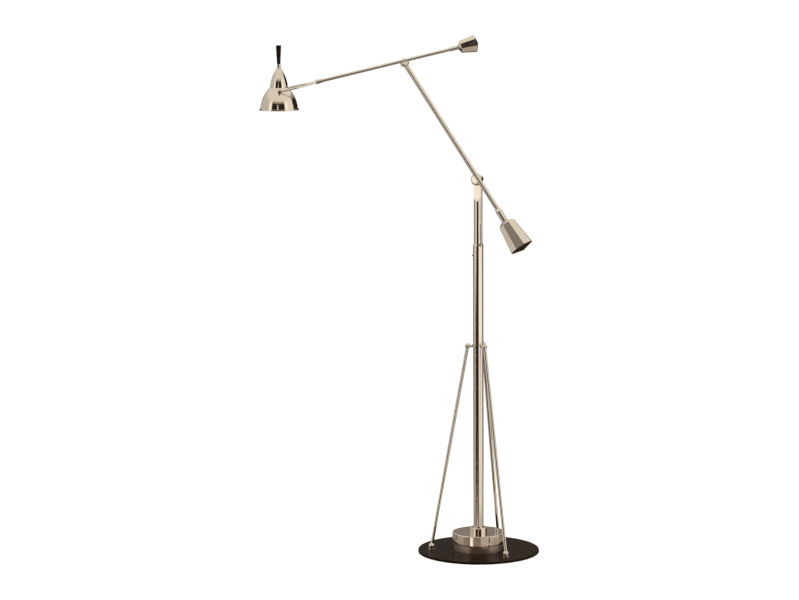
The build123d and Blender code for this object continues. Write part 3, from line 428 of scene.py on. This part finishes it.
# ---------------------------------------------------------------- weights with eased edges
def eased_weight(node, body):
    """The octagonal weight as it leaves the linishing belt: flat facets, every arris eased."""
    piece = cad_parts[node].copy()
    piece.name = f"{node}_eased"
    piece.data = piece.data.copy()
    bpy.context.scene.collection.objects.link(piece)
    work = bmesh.new()
    work.from_mesh(piece.data)
    bmesh.ops.remove_doubles(work, verts=work.verts, dist=WELD)
    bmesh.ops.dissolve_limit(work, angle_limit=FLAT_ANGLE, verts=work.verts, edges=work.edges)
    arrises = [edge for edge in work.edges if edge.calc_face_angle(0) > ARRIS_ANGLE]
    bmesh.ops.bevel(
        work, geom=arrises, offset=EASED_EDGE, segments=EASED_STEPS, profile=ROUND_PROFILE,
        affect="EDGES", clamp_overlap=True,
    )
    work.to_mesh(piece.data)
    work.free()
    piece.data.shade_flat()
    piece.parent = None
    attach(piece, body)
    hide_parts(node)


# ---------------------------------------------------------------- studio
GAP_BROWN = rgb(0.030, 0.017, 0.010)
PANEL_CREAM = rgb(1.20, 1.13, 1.02)
CEILING_CREAM = rgb(0.82, 0.755, 0.655)
UNDER_TAN = rgb(0.47, 0.41, 0.34)
NEAR_FLOOR = rgb(0.33, 0.26, 0.20)
STRIP_SHINE = rgb(1.65, 1.55, 1.40)
BACKDROP_WHITE = rgb(1.0, 1.0, 1.0)
FLOOR_WHITES = (rgb(0.93, 0.93, 0.925), rgb(0.95, 0.95, 0.945))


def pale_floor(shader):
    """Matt white floor that fades out towards its rim; a faint mottle keeps it from looking flat."""
    mottle = shader.noise(3.0, 3.0)
    radius, _ = shader.round_mast()
    return {
        "Base Color": shader.mottled(mottle, FLOOR_WHITES),
        "Roughness": 0.85,
        "Specular IOR Level": 0.2,
        "Alpha": 1.0 - shader.spread(radius, FLOOR_FADE, FLOOR_RADIUS),
    }


def make_floor():
    bpy.ops.mesh.primitive_circle_add(vertices=FLOOR_SIDES, radius=FLOOR_RADIUS, fill_type="NGON")
    floor = bpy.context.object
    floor.name = "pale_floor"
    floor.data.materials.append(finish("pale_floor", pale_floor))
    floor.visible_glossy = False    # the nickel mirrors the room's own floor instead


def make_top_light():
    lamp = bpy.data.lights.new("top_softbox", "AREA")
    lamp.shape = "SQUARE"
    lamp.size = TOP_LIGHT_SIZE
    lamp.energy = TOP_LIGHT_WATTS
    lamp.color = TOP_LIGHT_TINT
    holder = bpy.data.objects.new("top_softbox", lamp)
    holder.location = (0, 0, TOP_LIGHT_HEIGHT)
    holder.visible_glossy = False
    bpy.context.scene.collection.objects.link(holder)


def between(shader, value, start, end, edge):
    """One from start to end, fading to nothing across each of them by the edge's width."""
    rise = shader.spread(value, start - edge, start + edge)
    return rise - shader.spread(value, end - edge, end + edge)


def panel_glow(shader, around, height):
    """The summed glow of the upright panels in a direction."""
    glow = 0.0
    for start, end, strength, lowest, highest in PANELS:
        shown = between(shader, height, lowest, highest, LEVEL_EDGE)
        glow = glow + between(shader, around, start, end, SIDE_EDGE) * shown * strength
    return glow


def room_colour(shader):
    """The room by direction: cream panels between brown gaps, with its floor and its ceiling."""
    x, y, z = shader.axes(shader.node("ShaderNodeTexCoord", output="Generated"))
    turn = y.maths("ARCTAN2", y, x) * (180 / math.pi) + (90.0 - CAMERA_AZIMUTH)
    around = turn.maths("WRAP", turn, 180.0, -180.0)
    height = z.maths("ARCSINE", z) * (180 / math.pi)
    walls = shader.blend(panel_glow(shader, around, height), GAP_BROWN, PANEL_CREAM)
    strip = between(shader, around, *STRIP, SIDE_EDGE)
    ground = shader.blend(strip, NEAR_FLOOR, STRIP_SHINE)
    near = between(shader, height, NEAR_FOOT, NEAR_TOP, LEVEL_EDGE)
    lower = shader.blend(near, walls, ground)
    sideways = around.maths("ABSOLUTE", around)
    drop = shader.spread(sideways, BEHIND_FROM, BEHIND_FULL, 0.0, CEILING_DROP)
    ceiling = shader.spread(height + drop, CEILING_FROM, CEILING_FULL)
    upper = shader.blend(ceiling, lower, CEILING_CREAM)
    return shader.blend(shader.spread(0.0 - height, UNDER_FROM, UNDER_FULL), upper, UNDER_TAN)


def studio_world():
    """White behind the lamp; the room is what lights it and shows in its reflections."""
    world = bpy.data.worlds.new("studio")
    world.use_nodes = True
    bpy.context.scene.world = world
    shader = Shader(world.node_tree)
    seen = shader.node("ShaderNodeLightPath", output="Is Camera Ray")
    colour = shader.blend(seen, room_colour(shader), BACKDROP_WHITE)
    back = shader.node("ShaderNodeBackground", {}, {"Color": colour, "Strength": 1.0})
    shader.node("ShaderNodeOutputWorld", {}, {"Surface": back})


def make_camera():
    azimuth = math.radians(CAMERA_AZIMUTH)
    place = Vector((
        math.sin(azimuth) * CAMERA_DISTANCE, -math.cos(azimuth) * CAMERA_DISTANCE, CAMERA_HEIGHT,
    ))
    heading = math.atan2(-place.y, -place.x) + math.radians(CAMERA_ASIDE)
    down = math.radians(CAMERA_DOWN)
    ahead = Vector((
        math.cos(down) * math.cos(heading), math.cos(down) * math.sin(heading), -math.sin(down),
    ))
    right = ahead.cross(Vector((0, 0, 1))).normalized()
    up = right.cross(ahead)
    level = Matrix((right, up, -ahead)).transposed().to_4x4()
    lens = bpy.data.cameras.new("studio_camera")
    lens.lens = CAMERA_LENS
    camera = bpy.data.objects.new("studio_camera", lens)
    roll = Matrix.Rotation(math.radians(CAMERA_ROLL), 4, "Z")
    camera.matrix_world = Matrix.Translation(place) @ level @ roll
    bpy.context.scene.collection.objects.link(camera)
    bpy.context.scene.camera = camera


dress_nodes()
eased_weight("lower_arm_weight", "lower_arm")
eased_weight("upper_arm_weight", "upper_arm")
make_floor()
make_top_light()
studio_world()
make_camera()
bpy.context.scene.view_settings.view_transform = "Standard"
